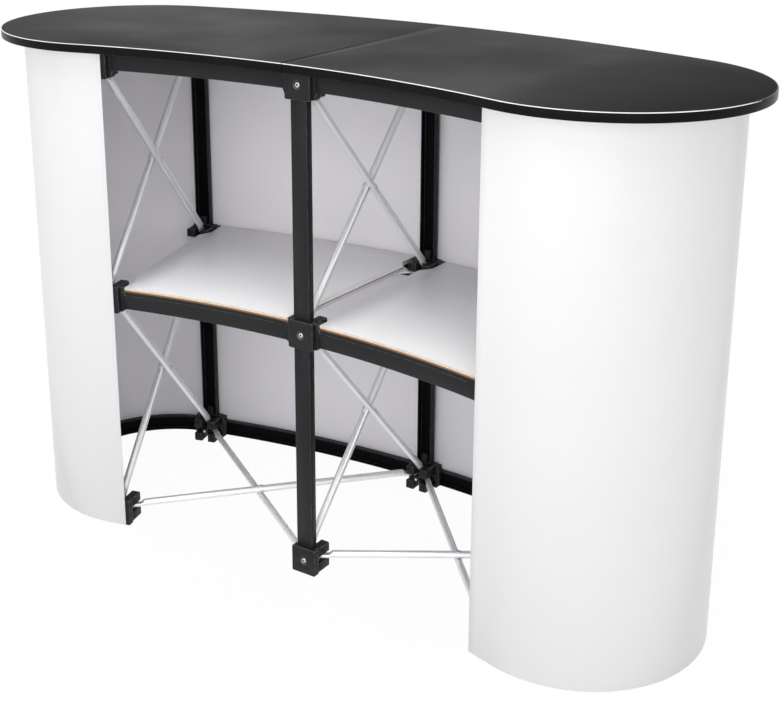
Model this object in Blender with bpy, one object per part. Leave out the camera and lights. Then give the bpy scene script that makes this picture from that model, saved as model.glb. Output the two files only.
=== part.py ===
"""Exhibition counter with a curved pop-up frame, a rolled skirt, two shelves and a folding top.

The frame has three columns of moulded hubs on the open, staff side and three on the
public side. Crossed aluminium rods hold the hubs apart, posts and rails lock them, and
the top, the shelves and the skirt hang on them. +X runs along the counter, -Y is the
open side and +Z is up. The floor is z = 0 and the origin is under the middle of the top.
"""
import math

import bmesh
import bpy
from mathutils import Matrix, Vector

# Whole counter
TOTAL_HEIGHT = 0.920
FRAME_DEPTH = 0.420
NEAR_RADIUS = 1.560
COLUMN_ANGLE = math.radians(14.8)
GAP = 0.0003
OVERRUN = 0.010

# Top
TOP_THICKNESS = 0.015
TOP_OVERHANG_NEAR = 0.038
TOP_OVERHANG_FAR = 0.032
TOP_END_ANGLE = math.radians(15.45)
SEAM_WIDTH = 0.0010
TOP_ARRIS = 0.0008

# Hubs
HUB_WIDTH = 0.050
HUB_DEPTH = 0.046
HUB_PLATE = 0.012
HUB_REAR_INSET = 0.0015
HUB_CHAMFER = 0.003
HUB_REAR_CHAMFER = 0.0015
SLOT_WIDTH = 0.0134
BOSS_WIDTH = 0.012
SCREW_SINK_RADIUS = 0.0060
SCREW_SINK_DEPTH = 0.0035

# Hub screws
SCREW_HEAD_RADIUS = 0.0046
SCREW_HEAD_HEIGHT = 0.0028
SCREW_SHANK_RADIUS = 0.0024
SCREW_SOCKET_RADIUS = 0.0017
SCREW_SOCKET_DEPTH = 0.0015
SCREW_TIP = 0.0010

# Posts
POST_WIDTH = 0.032
POST_DEPTH = 0.014
POST_WALL = 0.0022
POST_SETBACK = 0.004
POST_PLUG_LENGTH = 0.018
POST_HOOK_LENGTH = 0.012
POST_HOOK_THICKNESS = 0.0032
STRIP_WIDTH = 0.025
STRIP_THICKNESS = 0.0030
STRIP_SETBACK = 0.0004

# Scissor rods
ROD_ACROSS_FLATS = 0.012
ROD_TONGUE_THICKNESS = 0.006
ROD_TONGUE_WIDTH = 0.011
ROD_TIP_WIDTH = 0.005
ROD_TIP_LENGTH = 0.005
ROD_TONGUE_LENGTH = 0.018
ROD_NECK_LENGTH = 0.006
ROD_CENTRE_GAP = 0.0008
PIVOT_OFFSET = 0.014
PIVOT_DEPTH = 0.026
RIVET_RADIUS = 0.0025
RIVET_HEAD_RADIUS = 0.0044
RIVET_HEAD_HEIGHT = 0.0015

# Rails and end bows
RAIL_RISE = 0.0145
RAIL_DROP = 0.0175
RAIL_WALL = 0.0025
RAIL_LEDGE = 0.011
RAIL_SETBACK = 0.008
TOP_RAIL_GAP = 0.003
BAND_SETBACK = 0.0004
RAIL_BEAD_HEIGHT = 0.006
RAIL_BEAD_DEPTH = 0.0010
BRACKET_LENGTH = 0.010
BRACKET_DEPTH = 0.016
BRACKET_GUSSET = 0.006
SHOULDER_LENGTH = 0.0065
SHOULDER_RISE = 0.0235
PLUG_LENGTH = 0.010
PLUG_DEPTH = 0.0062

# Skirt
SKIRT_THICKNESS = 0.0015
SKIRT_CLEARANCE = 0.0014
SKIRT_END_ANGLE = math.radians(15.25)
SKIRT_LEFT_INSET = 0.017
SKIRT_RIGHT_INSET = 0.034
SKIRT_FLOOR_GAP = 0.002
SKIRT_TOP_GAP = 0.001

# Shelves
SHELF_THICKNESS = 0.008
SHELF_NEAR_SETBACK = 0.0095
SHELF_FAR_SETBACK = 0.0045
SHELF_CORNER_GAP = 0.0018
SHELF_NEAR_SIDE_GAP = 0.024
SHELF_FAR_SIDE_GAP = 0.017
SHELF_NOTCH_LENGTH = 0.050
SHELF_NOTCH_SLOPE = 0.024

# Top fittings
LUG_DEPTH = 0.022
LUG_START = 0.018
LUG_DROP = 0.013
BARREL_RADIUS = 0.0050
BARREL_LENGTH = 0.020
BARREL_PLACES_SHARES = (0.22, 0.78)
PIVOT_RISE = 0.0003

# Facets
ROUND_SEGMENTS = 8
BAY_SEGMENTS = 6
ARC_SEGMENTS = 12
END_SEGMENTS = 26

# Heights that follow from the sizes above
UNDERSIDE = TOTAL_HEIGHT - TOP_THICKNESS
LEVELS = {"bottom": HUB_WIDTH / 2, "top": UNDERSIDE - GAP - HUB_WIDTH / 2}
LEVELS["middle"] = (LEVELS["bottom"] + LEVELS["top"]) / 2
TOP_RAIL_LIFT = HUB_WIDTH / 2 - TOP_RAIL_GAP - RAIL_RISE
COLUMNS = {"left": -COLUMN_ANGLE, "middle": 0.0, "right": COLUMN_ANGLE}
BAYS = {"left": -COLUMN_ANGLE / 2, "right": COLUMN_ANGLE / 2}
STOREYS = {"lower": ("bottom", "middle"), "upper": ("middle", "top")}
SIDES = {"near": False, "far": True}
ENDS = {"left": -1.0, "right": 1.0}
SKIRT_INSETS = {"left": SKIRT_LEFT_INSET, "right": SKIRT_RIGHT_INSET}

# The top's arcs, and the shift that puts the origin under the middle of its outline
TOP_NEAR_RADIUS = NEAR_RADIUS - TOP_OVERHANG_NEAR
TOP_FAR_RADIUS = NEAR_RADIUS + FRAME_DEPTH + SKIRT_CLEARANCE + SKIRT_THICKNESS + TOP_OVERHANG_FAR
TOP_MID_RADIUS = (TOP_NEAR_RADIUS + TOP_FAR_RADIUS) / 2
TOP_HALF_DEPTH = (TOP_FAR_RADIUS - TOP_NEAR_RADIUS) / 2
ARC_CENTRE_Y = -(TOP_FAR_RADIUS + TOP_MID_RADIUS * math.cos(TOP_END_ANGLE) - TOP_HALF_DEPTH) / 2


def clear_scene():
    for item in list(bpy.data.objects):
        bpy.data.objects.remove(item, do_unlink=True)


def finish(name, colour, roughness, metallic=0.0):
    """A plain coloured material."""
    material = bpy.data.materials.new(name)
    material.use_nodes = True
    shader = material.node_tree.nodes["Principled BSDF"]
    shader.inputs["Base Color"].default_value = (*colour, 1.0)
    shader.inputs["Roughness"].default_value = roughness
    shader.inputs["Metallic"].default_value = metallic
    material.diffuse_color = (*colour, 1.0)
    return material


def mesh_from(vertices, faces, name="shape"):
    """A closed mesh with its faces pointing out."""
    mesh = bpy.data.meshes.new(name)
    mesh.from_pydata([tuple(v) for v in vertices], [], faces)
    shape = bmesh.new()
    shape.from_mesh(mesh)
    bmesh.ops.recalc_face_normals(shape, faces=shape.faces)
    shape.to_mesh(mesh)
    shape.free()
    return mesh


def lofted(rings, name="shape"):
    """A solid through rings that all have the same number of points."""
    count = len(rings[0])
    vertices = [point for ring in rings for point in ring]
    faces = [list(range(count)), [len(vertices) - count + i for i in range(count)]]
    for step in range(len(rings) - 1):
        for i in range(count):
            j = (i + 1) % count
            faces.append([step * count + i, step * count + j,
                          (step + 1) * count + j, (step + 1) * count + i])
    return mesh_from(vertices, faces, name)


def prism(outline, axis, low, high):
    """An outline in the other two axes' plane, extruded along the axis."""
    rings = []
    for level in (low, high):
        ring = []
        for first, second in outline:
            point = [first, second]
            point.insert(axis, level)
            ring.append(Vector(point))
        rings.append(ring)
    return lofted(rings)


def block(low, high):
    """A box from its lowest corner to its highest."""
    outline = [(low[0], low[1]), (high[0], low[1]), (high[0], high[1]), (low[0], high[1])]
    return prism(outline, 2, low[2], high[2])


def turned(profile, axis, segments):
    """A solid turned about an axis, from (radius, place along the axis) pairs."""
    rings = []
    for radius, place in profile:
        ring = []
        for i in range(segments):
            turn = math.tau * (i + 0.5) / segments
            point = [radius * math.cos(turn), radius * math.sin(turn)]
            point.insert(axis, place)
            ring.append(Vector(point))
        rings.append(ring)
    return lofted(rings)


def moved(mesh, matrix):
    mesh.transform(matrix)
    return mesh


def baked(base, cuts=(), joins=(), name="shape"):
    """One mesh: the base with the joined shapes added and then the cuts taken out."""
    body = bpy.data.objects.new(name, base)
    bpy.context.collection.objects.link(body)
    tools = []
    for operation, shapes in (("UNION", joins), ("DIFFERENCE", cuts)):
        for shape in shapes:
            tool = bpy.data.objects.new(name + "_tool", shape)
            tool.hide_render = True
            tool.display_type = "WIRE"
            bpy.context.collection.objects.link(tool)
            tools.append(tool)
            step = body.modifiers.new(operation.lower(), "BOOLEAN")
            step.operation = operation
            step.solver = "EXACT"
            step.object = tool
    bpy.context.view_layer.update()
    graph = bpy.context.evaluated_depsgraph_get()
    mesh = bpy.data.meshes.new_from_object(body.evaluated_get(graph))
    mesh.name = name
    for item in [body, *tools]:
        bpy.data.objects.remove(item, do_unlink=True)
    return mesh


def piece(name, mesh, material, place=None, parent=None):
    """A named sub-part of the counter."""
    item = bpy.data.objects.new(name, mesh)
    bpy.context.collection.objects.link(item)
    if not mesh.materials:
        mesh.materials.append(material)
        mesh.shade_smooth()
        mesh.set_sharp_from_angle(angle=math.radians(35.0))
    if place is not None:
        item.matrix_world = place
    if parent is not None:
        item.parent = parent
        item.matrix_parent_inverse = parent.matrix_world.inverted()
    return item


def arc_point(radius, angle, along=0.0):
    """A point on a circle about the arc centre, shifted along the tangent."""
    x = radius * math.sin(angle) + along * math.cos(angle)
    y = radius * math.cos(angle) - along * math.sin(angle)
    return Vector((x, y, 0.0))


def column_place(angle, far, height):
    """Frame of a hub: X across, Y inward from its outer face, Z up."""
    radius = NEAR_RADIUS + (FRAME_DEPTH if far else 0.0)
    spot = arc_point(radius, angle) + Vector((0.0, ARC_CENTRE_Y, height))
    turn = (math.pi if far else 0.0) - angle
    return Matrix.Translation(spot) @ Matrix.Rotation(turn, 4, "Z")


def local_column(angle, far):
    """The same frame, measured from the arc centre."""
    return Matrix.Translation((0.0, -ARC_CENTRE_Y, 0.0)) @ column_place(angle, far, 0.0)


def bay_place(radius, angle, height):
    """Frame on a bay's centre line at a radius: X along the bay, Y outward from the arc centre."""
    spot = arc_point(radius, angle) + Vector((0.0, ARC_CENTRE_Y, height))
    return Matrix.Translation(spot) @ Matrix.Rotation(-angle, 4, "Z")


def arc_stations(radius, start, end, steps, outward):
    """Points along an arc, each with the direction that faces out of the frame."""
    stations = []
    for i in range(steps + 1):
        angle = start + (end - start) * i / steps
        stations.append((arc_point(radius, angle), outward * arc_point(1.0, angle)))
    return stations


def end_stations(near_radius, far_radius, end_angle, side, start=0.0, finish=math.pi):
    """Points round one rounded end, by turns from its near side to its far side."""
    mid_radius = (near_radius + far_radius) / 2
    half_depth = (far_radius - near_radius) / 2
    middle = arc_point(mid_radius, side * end_angle)
    radial = arc_point(1.0, side * end_angle)
    tangent = side * Vector((radial.y, -radial.x, 0.0))
    stations = []
    for i in range(END_SEGMENTS + 1):
        turn = start + (finish - start) * i / END_SEGMENTS
        out = tangent * math.sin(turn) - radial * math.cos(turn)
        stations.append((middle + half_depth * out, out))
    return stations


def rounded_end(near_radius, far_radius, end_angle, side, near_start, far_start, near_steps, far_steps):
    """A path from the near arc, round one end, and on to the far arc."""
    near = arc_stations(near_radius, side * near_start, side * end_angle, near_steps, -1.0)
    turn = end_stations(near_radius, far_radius, end_angle, side)[1:-1]
    far = arc_stations(far_radius, side * end_angle, side * far_start, far_steps, 1.0)
    return near + turn + far


def swept(stations, profile, name="shape"):
    """A profile of (outward offset, height) points carried along a path."""
    rings = []
    for spot, out in stations:
        rings.append([spot + out * offset + Vector((0.0, 0.0, height)) for offset, height in profile])
    return lofted(rings, name)


def chamfered_square(width, chamfer):
    """Outline of a square with cut corners, centred on zero."""
    half = width / 2
    near = half - chamfer
    quarter = [(half, -near), (half, near)]
    outline = []
    for turn in range(4):
        for x, z in quarter:
            for _ in range(turn):
                x, z = -z, x
            outline.append((x, z))
    return outline


def hub_mesh():
    """Moulded hub: a face plate, four corner pillars and a boss clamped by one long socket screw."""
    plate = prism(chamfered_square(HUB_WIDTH, HUB_CHAMFER), 1, 0.0, HUB_PLATE)
    rear = prism(chamfered_square(HUB_WIDTH - 2 * HUB_REAR_INSET, HUB_REAR_CHAMFER), 1,
                 HUB_PLATE / 2, HUB_DEPTH)
    arms = []
    half = SLOT_WIDTH / 2
    for turn in range(4):
        arm = block((BOSS_WIDTH / 2, HUB_PLATE, -half),
                    (HUB_WIDTH / 2 + OVERRUN, HUB_DEPTH + OVERRUN, half))
        arms.append(moved(arm, Matrix.Rotation(turn * math.pi / 2, 4, "Y")))
    sink = turned([(SCREW_SINK_RADIUS, -OVERRUN), (SCREW_SINK_RADIUS, SCREW_SINK_DEPTH)], 1,
                  ROUND_SEGMENTS + 4)
    moulding = baked(plate, cuts=[*arms, sink], joins=[rear], name="moulding")
    head_top = SCREW_SINK_DEPTH - SCREW_HEAD_HEIGHT
    screw = turned([(SCREW_HEAD_RADIUS, head_top), (SCREW_HEAD_RADIUS, SCREW_SINK_DEPTH + SCREW_TIP),
                    (SCREW_SHANK_RADIUS, SCREW_SINK_DEPTH + SCREW_TIP),
                    (SCREW_SHANK_RADIUS, HUB_DEPTH + SCREW_TIP)], 1, ROUND_SEGMENTS)
    socket = turned([(SCREW_SOCKET_RADIUS, -OVERRUN),
                     (SCREW_SOCKET_RADIUS, head_top + SCREW_SOCKET_DEPTH)], 1, 6)
    return baked(moulding, cuts=[socket], joins=[screw], name="hub")


def channel_section():
    """Section of a post that shows: a channel open to the inside of the counter."""
    half = POST_WIDTH / 2
    back = POST_SETBACK + POST_DEPTH
    inner = half - POST_WALL
    web = POST_SETBACK + POST_WALL
    return [(-half, POST_SETBACK), (half, POST_SETBACK), (half, back), (inner, back), (inner, web),
            (-inner, web), (-inner, back), (-half, back)]


def strip_section():
    """Section of a post behind an edge of the skirt: a flat strip that the sheet is held to."""
    half = STRIP_WIDTH / 2
    back = STRIP_SETBACK + STRIP_THICKNESS
    return [(-half, STRIP_SETBACK), (half, STRIP_SETBACK), (half, back), (-half, back)]


def post_mesh(section, seat):
    """A post between two hubs, with a hooked plug on each end that enters their slots."""
    reach = (LEVELS["middle"] - LEVELS["bottom"] - HUB_WIDTH) / 2 - GAP
    bar = prism(section, 2, -reach, reach)
    hook_start = HUB_PLATE + GAP
    hook_end = hook_start + POST_HOOK_THICKNESS
    width = SLOT_WIDTH / 2 - GAP
    plugs = []
    for way in (-1.0, 1.0):
        end = way * reach
        plug = [(seat, end - way * POST_PLUG_LENGTH), (seat, end), (hook_start, end),
                (hook_start, end + way * POST_HOOK_LENGTH), (hook_end, end + way * POST_HOOK_LENGTH),
                (hook_end, end - way * POST_PLUG_LENGTH)]
        plugs.append(prism(plug, 0, -width, width))
    return baked(bar, joins=plugs, name="post")


def rod_ring(start, along, across, distance, width, thickness, side):
    """Six points round a rod: a hexagon, or the flattened tongue at its end."""
    base = ROD_CENTRE_GAP / 2
    points = []
    for across_share, height_share in ((-0.25, 0.0), (0.25, 0.0), (0.5, 0.5),
                                       (0.25, 1.0), (-0.25, 1.0), (-0.5, 0.5)):
        flat = start + along * distance + across * (across_share * width)
        points.append(Vector((flat.x, flat.y, side * (base + height_share * thickness))))
    return points


def rod_mesh(start, end, side):
    """A hexagonal aluminium rod with flattened ends, on one side of the scissor's plane."""
    span = end - start
    length = span.length
    along = span / length
    across = Vector((-along.y, along.x, 0.0))
    full = (ROD_ACROSS_FLATS * 2 / math.sqrt(3.0), ROD_ACROSS_FLATS)
    tongue = (ROD_TONGUE_WIDTH, ROD_TONGUE_THICKNESS)
    tip = (ROD_TIP_WIDTH, ROD_TONGUE_THICKNESS)
    near = [(-ROD_TIP_LENGTH, tip), (0.0, tongue), (ROD_TONGUE_LENGTH, tongue),
            (ROD_TONGUE_LENGTH + ROD_NECK_LENGTH, full)]
    places = near + [(length - distance, section) for distance, section in reversed(near)]
    rings = [rod_ring(start, along, across, distance, *section, side) for distance, section in places]
    return lofted(rings)


def scissor_mesh(first, second, name):
    """Two crossed rods joined by the rivet that they turn on, with the crossing at zero."""
    rods = [rod_mesh(start, end, side) for (start, end), side in ((first, 1.0), (second, -1.0))]
    face = ROD_CENTRE_GAP / 2 + ROD_ACROSS_FLATS
    top = face + RIVET_HEAD_HEIGHT
    inside = face - RIVET_HEAD_HEIGHT
    rivet = turned([(RIVET_HEAD_RADIUS, -top), (RIVET_HEAD_RADIUS, -inside), (RIVET_RADIUS, -inside),
                    (RIVET_RADIUS, inside), (RIVET_HEAD_RADIUS, inside), (RIVET_HEAD_RADIUS, top)],
                   2, ROUND_SEGMENTS)
    return baked(rods[0], joins=[rods[1], rivet], name=name)


def upright_scissor():
    """The crossed pair in a column's own plane: X inward, Y up, Z along the counter."""
    reach = FRAME_DEPTH / 2 - PIVOT_DEPTH
    rise = (LEVELS["middle"] - LEVELS["bottom"]) / 2 - PIVOT_OFFSET
    first = (Vector((-reach, rise, 0.0)), Vector((reach, -rise, 0.0)))
    second = (Vector((-reach, -rise, 0.0)), Vector((reach, rise, 0.0)))
    return scissor_mesh(first, second, "upright_scissor")


def level_scissor():
    """The crossed pair across a bay: X along the bay, Y inward, Z up; and its crossing radius."""
    near = arc_point(NEAR_RADIUS + PIVOT_DEPTH, COLUMN_ANGLE / 2, -PIVOT_OFFSET)
    far = arc_point(NEAR_RADIUS + FRAME_DEPTH - PIVOT_DEPTH, COLUMN_ANGLE / 2, -PIVOT_OFFSET)
    crossing = near.y + (far.y - near.y) * near.x / (near.x + far.x)
    drop = Vector((0.0, crossing, 0.0))
    mirrored_near = Vector((-near.x, near.y, 0.0))
    mirrored_far = Vector((-far.x, far.y, 0.0))
    first = (mirrored_near - drop, far - drop)
    second = (near - drop, mirrored_far - drop)
    return scissor_mesh(first, second, "level_scissor"), crossing


def rail_profile(setback, lift):
    """Section of a rail: a channel that opens inward, with a beaded outer face and a ledge on top."""
    face = -setback
    bead = face - RAIL_BEAD_DEPTH
    web = face - RAIL_WALL
    lip = face - RAIL_LEDGE
    top = lift + RAIL_RISE
    low = lift - RAIL_DROP
    return [(face, low), (face, top - RAIL_BEAD_HEIGHT), (bead, top - RAIL_BEAD_HEIGHT), (bead, top),
            (lip, top), (lip, top - RAIL_WALL), (web, top - RAIL_WALL), (web, low + RAIL_WALL),
            (lip, low + RAIL_WALL), (lip, low)]


def bracket_shapes(setback, way, lift=0.0):
    """Moulded end of a rail beside a hub, with the plug that enters the hub's side slot."""
    start = HUB_WIDTH / 2 + GAP
    end = start + BRACKET_LENGTH
    shoulder = start + SHOULDER_LENGTH
    foot = -(HUB_WIDTH / 2 - HUB_REAR_INSET)
    low = lift - RAIL_DROP
    high = lift + RAIL_RISE
    outline = [(start, foot), (start + BRACKET_GUSSET / 2, foot), (end, low), (end, high),
               (shoulder, high), (shoulder, SHOULDER_RISE), (start, SHOULDER_RISE)]
    body = []
    for depth in (setback, setback + BRACKET_DEPTH):
        body.append([Vector((way * x, depth, z)) for x, z in outline])
    half = SLOT_WIDTH / 2 - GAP
    sides = sorted((way * (start - PLUG_LENGTH), way * (start + BRACKET_LENGTH / 2)))
    plug_start = HUB_PLATE + GAP
    plug = block((sides[0], plug_start, -half), (sides[1], plug_start + PLUG_DEPTH, half))
    return [lofted(body), plug]


def bracket_turn(radius):
    """Angle from a column to the place where a rail leaves its bracket."""
    return (HUB_WIDTH / 2 + GAP + BRACKET_LENGTH / 2) / radius


def rail_mesh(far, setback, lift):
    """A rail between two hubs of one side, with a bracket at each end."""
    radius = NEAR_RADIUS + (FRAME_DEPTH if far else 0.0)
    half = COLUMN_ANGLE / 2
    reach = half - bracket_turn(radius)
    outward = 1.0 if far else -1.0
    bar = swept(arc_stations(radius, -reach, reach, BAY_SEGMENTS, outward), rail_profile(setback, lift))
    joins = []
    for side in (-1.0, 1.0):
        way = side if far else -side
        for shape in bracket_shapes(setback, way, lift):
            joins.append(moved(shape, local_column(side * half, far)))
    rail = baked(bar, joins=joins, name="rail")
    return moved(rail, Matrix.Translation((0.0, -radius, 0.0)))


def bow_mesh(side):
    """The band inside a rounded end of the skirt, from the near hub to the far hub."""
    far_radius = NEAR_RADIUS + FRAME_DEPTH
    starts = []
    for radius in (NEAR_RADIUS, far_radius):
        past_end = COLUMN_ANGLE + bracket_turn(radius) - SKIRT_END_ANGLE
        starts.append(past_end * radius / (FRAME_DEPTH / 2))
    path = end_stations(NEAR_RADIUS, far_radius, SKIRT_END_ANGLE, side, starts[0], math.pi - starts[1])
    band = swept(path, rail_profile(BAND_SETBACK, 0.0))
    joins = []
    for far in (False, True):
        way = -side if far else side
        for shape in bracket_shapes(BAND_SETBACK, way):
            joins.append(moved(shape, local_column(side * COLUMN_ANGLE, far)))
    bow = baked(band, joins=joins, name="end_bow")
    return bow


def skirt_mesh():
    """The rolled panel: round one end, along the public side and round the other end."""
    far_radius = NEAR_RADIUS + FRAME_DEPTH
    halves = []
    for name, side in ENDS.items():
        edge = COLUMN_ANGLE - SKIRT_INSETS[name] / NEAR_RADIUS
        halves.append(rounded_end(NEAR_RADIUS, far_radius, SKIRT_END_ANGLE, side, edge, 0.0, 2, ARC_SEGMENTS))
    path = halves[0] + halves[1][-2::-1]
    inner = SKIRT_CLEARANCE
    outer = SKIRT_CLEARANCE + SKIRT_THICKNESS
    low = SKIRT_FLOOR_GAP
    high = UNDERSIDE - SKIRT_TOP_GAP
    return swept(path, [(inner, low), (outer, low), (outer, high), (inner, high)], "skirt")


def shelf_mesh():
    """A shelf of one bay, cut round the hubs, in the bay's own frame about the arc centre."""
    half = COLUMN_ANGLE / 2
    corner = HUB_WIDTH / 2 + GAP + SHOULDER_LENGTH + SHELF_CORNER_GAP
    near_radius = NEAR_RADIUS + SHELF_NEAR_SETBACK
    far_radius = NEAR_RADIUS + FRAME_DEPTH - SHELF_FAR_SETBACK
    notch = NEAR_RADIUS + SHELF_NOTCH_LENGTH
    far_notch = NEAR_RADIUS + FRAME_DEPTH - SHELF_NOTCH_LENGTH
    side = [(near_radius, corner), (notch, corner),
            (notch + SHELF_NOTCH_SLOPE, SHELF_NEAR_SIDE_GAP),
            (far_notch - SHELF_NOTCH_SLOPE, SHELF_FAR_SIDE_GAP),
            (far_notch, corner), (far_radius, corner)]
    left = [arc_point(radius, -half, along) for radius, along in side]
    right = [Vector((-point.x, point.y, 0.0)) for point in reversed(left)]
    far_reach = half - corner / far_radius
    near_reach = half - corner / near_radius
    far = arc_stations(far_radius, -far_reach, far_reach, BAY_SEGMENTS, 1.0)[1:-1]
    near = arc_stations(near_radius, near_reach, -near_reach, BAY_SEGMENTS, -1.0)[1:-1]
    outline = left + [spot for spot, _ in far] + right + [spot for spot, _ in near]
    return prism([(point.x, point.y) for point in outline], 2, 0.0, SHELF_THICKNESS)


def top_path(side, inset):
    """Outline of one half of the top, from the seam's near end to its far end."""
    near_radius = TOP_NEAR_RADIUS + inset
    far_radius = TOP_FAR_RADIUS - inset
    near_start = math.asin(SEAM_WIDTH / 2 / near_radius)
    far_start = math.asin(SEAM_WIDTH / 2 / far_radius)
    return rounded_end(near_radius, far_radius, TOP_END_ANGLE, side, near_start, far_start,
                       ARC_SEGMENTS, ARC_SEGMENTS)


def lug_shape(angle, far):
    """The lug under the top that drops into the upper slot of one top hub."""
    half = SLOT_WIDTH / 2 - GAP
    shape = block((-half, LUG_START, -LUG_DROP), (half, LUG_START + LUG_DEPTH, TOP_THICKNESS / 2))
    return moved(shape, local_column(angle, far))


def barrel_places():
    """Distances of the hinge barrels from the arc centre, along the seam."""
    depth = TOP_FAR_RADIUS - TOP_NEAR_RADIUS
    return [TOP_NEAR_RADIUS + depth * share for share in BARREL_PLACES_SHARES]


def barrel_bore(side, place):
    """The blind bore for one barrel of a concealed hinge, in the seam face."""
    shape = turned([(BARREL_RADIUS, side * (SEAM_WIDTH / 2 - OVERRUN)),
                    (BARREL_RADIUS, side * (SEAM_WIDTH / 2 + BARREL_LENGTH))], 0, ROUND_SEGMENTS + 4)
    return moved(shape, Matrix.Translation((0.0, place, TOP_THICKNESS / 2)))


def top_mesh(side):
    """One half of the top about the arc centre, with its two locating lugs; underside at zero."""
    rings = []
    for inset, height in ((TOP_ARRIS, 0.0), (0.0, TOP_ARRIS), (0.0, TOP_THICKNESS - TOP_ARRIS),
                          (TOP_ARRIS, TOP_THICKNESS)):
        rings.append([spot + Vector((0.0, 0.0, height)) for spot, _ in top_path(side, inset)])
    column = side * COLUMN_ANGLE
    lugs = [lug_shape(column, far) for far in (False, True)]
    bores = [barrel_bore(side, place) for place in barrel_places()]
    return baked(lofted(rings), cuts=bores, joins=lugs, name="tabletop")


def build():
    clear_scene()
    hub_plastic = finish("hub_plastic", (0.030, 0.030, 0.032), 0.45)
    bar_black = finish("bar_black", (0.036, 0.036, 0.038), 0.40)
    rod_metal = finish("rod_aluminium", (0.78, 0.78, 0.79), 0.30, 1.0)
    skirt_sheet = finish("skirt_sheet", (0.86, 0.86, 0.87), 0.40)
    top_laminate = finish("top_laminate", (0.058, 0.058, 0.060), 0.35)
    shelf_laminate = finish("shelf_laminate", (0.84, 0.84, 0.85), 0.45)

    # Hubs
    hub = hub_mesh()
    for side, far in SIDES.items():
        for column, angle in COLUMNS.items():
            for level, height in LEVELS.items():
                piece("hub_" + side + "_" + column + "_" + level, hub, hub_plastic,
                      column_place(angle, far, height))

    # Posts
    channel = post_mesh(channel_section(), POST_SETBACK + POST_WALL / 2)
    strip = post_mesh(strip_section(), STRIP_SETBACK + STRIP_THICKNESS / 2)
    for side, far in SIDES.items():
        for column, angle in COLUMNS.items():
            post = channel if far or column == "middle" else strip
            for storey, (low, high) in STOREYS.items():
                middle = (LEVELS[low] + LEVELS[high]) / 2
                piece("post_" + side + "_" + column + "_" + storey, post, bar_black,
                      column_place(angle, far, middle))

    # Scissors in the columns' planes
    upright = upright_scissor()
    mid_radius = NEAR_RADIUS + FRAME_DEPTH / 2
    for column, angle in COLUMNS.items():
        radial = arc_point(1.0, angle)
        axes = Matrix((radial, (0.0, 0.0, 1.0), (radial.y, -radial.x, 0.0))).transposed().to_4x4()
        for storey, (low, high) in STOREYS.items():
            middle = (LEVELS[low] + LEVELS[high]) / 2
            spot = arc_point(mid_radius, angle) + Vector((0.0, ARC_CENTRE_Y, middle))
            piece("scissor_" + column + "_" + storey, upright, rod_metal,
                  Matrix.Translation(spot) @ axes)

    # Scissors across the bays
    level_pair, crossing = level_scissor()
    for bay, angle in BAYS.items():
        for level, height in LEVELS.items():
            piece("scissor_" + level + "_" + bay, level_pair, rod_metal,
                  bay_place(crossing, angle, height))

    # Rails
    for level, height in LEVELS.items():
        lift = TOP_RAIL_LIFT if level == "top" else 0.0
        near_rail = rail_mesh(False, RAIL_SETBACK, lift)
        far_rail = rail_mesh(True, BAND_SETBACK, lift)
        for bay, angle in BAYS.items():
            piece("rail_far_" + level + "_" + bay, far_rail, bar_black,
                  bay_place(NEAR_RADIUS + FRAME_DEPTH, angle, height))
            if level != "bottom":
                piece("rail_near_" + level + "_" + bay, near_rail, bar_black,
                      bay_place(NEAR_RADIUS, angle, height))

    # Bows at the foot of the skirt's rounded ends
    for name, side in ENDS.items():
        piece("end_bow_" + name, bow_mesh(side), bar_black, bay_place(0.0, 0.0, LEVELS["bottom"]))

    # Skirt
    piece("skirt_panel", skirt_mesh(), skirt_sheet, bay_place(0.0, 0.0, 0.0))

    # Shelves
    shelf = shelf_mesh()
    for bay, angle in BAYS.items():
        piece("shelf_" + bay, shelf, shelf_laminate,
              bay_place(0.0, angle, LEVELS["middle"] + RAIL_RISE + GAP))

    # The two halves of the top, each under an empty on the axis that they fold on
    for name, side in ENDS.items():
        axis = bpy.data.objects.new("top_axis_" + name, None)
        bpy.context.collection.objects.link(axis)
        axis.location = (0.0, 0.0, TOTAL_HEIGHT + PIVOT_RISE)
        bpy.context.view_layer.update()
        piece("tabletop_" + name, top_mesh(side), top_laminate, bay_place(0.0, 0.0, UNDERSIDE), axis)


build()
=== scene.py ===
import math

import bmesh
import bpy
from mathutils import Matrix, Vector


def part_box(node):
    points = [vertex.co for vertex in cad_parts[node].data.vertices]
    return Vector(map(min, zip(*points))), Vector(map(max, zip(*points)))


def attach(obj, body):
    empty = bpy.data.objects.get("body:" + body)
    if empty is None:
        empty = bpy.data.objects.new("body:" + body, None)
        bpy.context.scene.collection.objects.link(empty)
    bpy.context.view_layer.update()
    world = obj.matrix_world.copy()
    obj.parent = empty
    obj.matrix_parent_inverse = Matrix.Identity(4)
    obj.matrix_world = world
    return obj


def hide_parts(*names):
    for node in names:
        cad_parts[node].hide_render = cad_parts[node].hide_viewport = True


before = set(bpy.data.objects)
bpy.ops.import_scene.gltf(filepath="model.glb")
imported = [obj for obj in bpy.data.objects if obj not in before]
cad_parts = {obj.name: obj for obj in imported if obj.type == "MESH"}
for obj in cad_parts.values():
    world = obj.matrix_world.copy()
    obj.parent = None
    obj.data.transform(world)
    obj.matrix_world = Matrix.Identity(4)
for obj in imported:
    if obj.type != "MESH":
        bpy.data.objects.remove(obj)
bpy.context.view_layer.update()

# Hub mouldings
# Each hub is a black nylon moulding: a thick face plate with cut corners, four corner
# pillars behind it, a bored boss in the middle and an open slot to each side.
# Rod ends, post hooks, rail plugs and the lugs of the top all sit in those slots.
ABOUT_X, ABOUT_Y, ABOUT_Z = 0, 1, 2
near_radius = 1.560
column_angle = math.radians(14.8)
hub_low, hub_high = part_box("hub_near_middle_top")
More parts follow.
